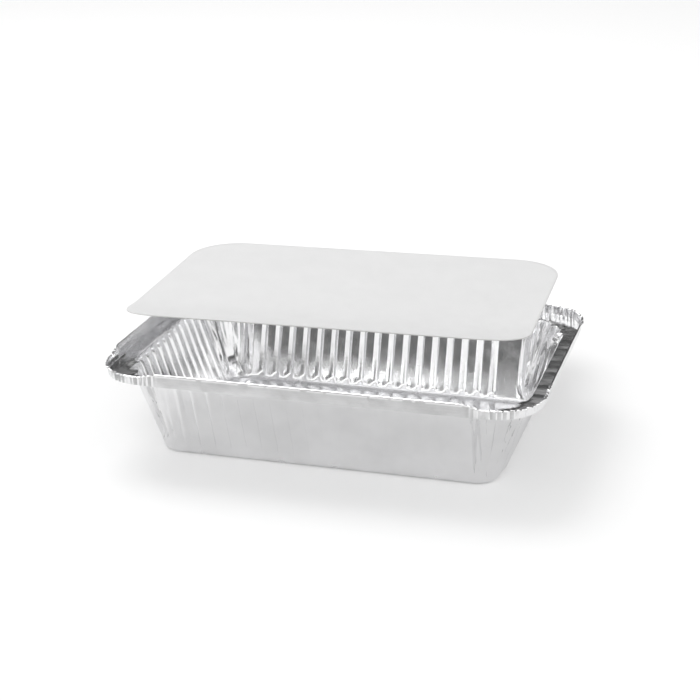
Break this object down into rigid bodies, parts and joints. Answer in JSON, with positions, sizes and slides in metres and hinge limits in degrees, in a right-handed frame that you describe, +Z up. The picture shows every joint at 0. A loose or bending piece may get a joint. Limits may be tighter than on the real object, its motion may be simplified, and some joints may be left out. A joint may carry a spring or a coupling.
{
  "type": "foil food container",
  "caption": "Oblong pressed-foil tray with fluted walls, ledge and crimped upright flange, and a flat rounded board lid resting askew on its rim.",
  "frame": {"origin": "middle of the tray's base, on the floor", "axes": "+Z up, +X along the tray's length, +Y from the front towards the back, where the lid overhangs"},
  "size_m": [0.2333, 0.2132, 0.0555],
  "materials": {
    "foil": "bright pressed foil with fine wrinkles",
    "board": "smooth white coated board, with foil on the underside"
  },
  "bodies": {
    "root": {"tray": "foil", "lid": "board"}
  },
  "joints": []
}
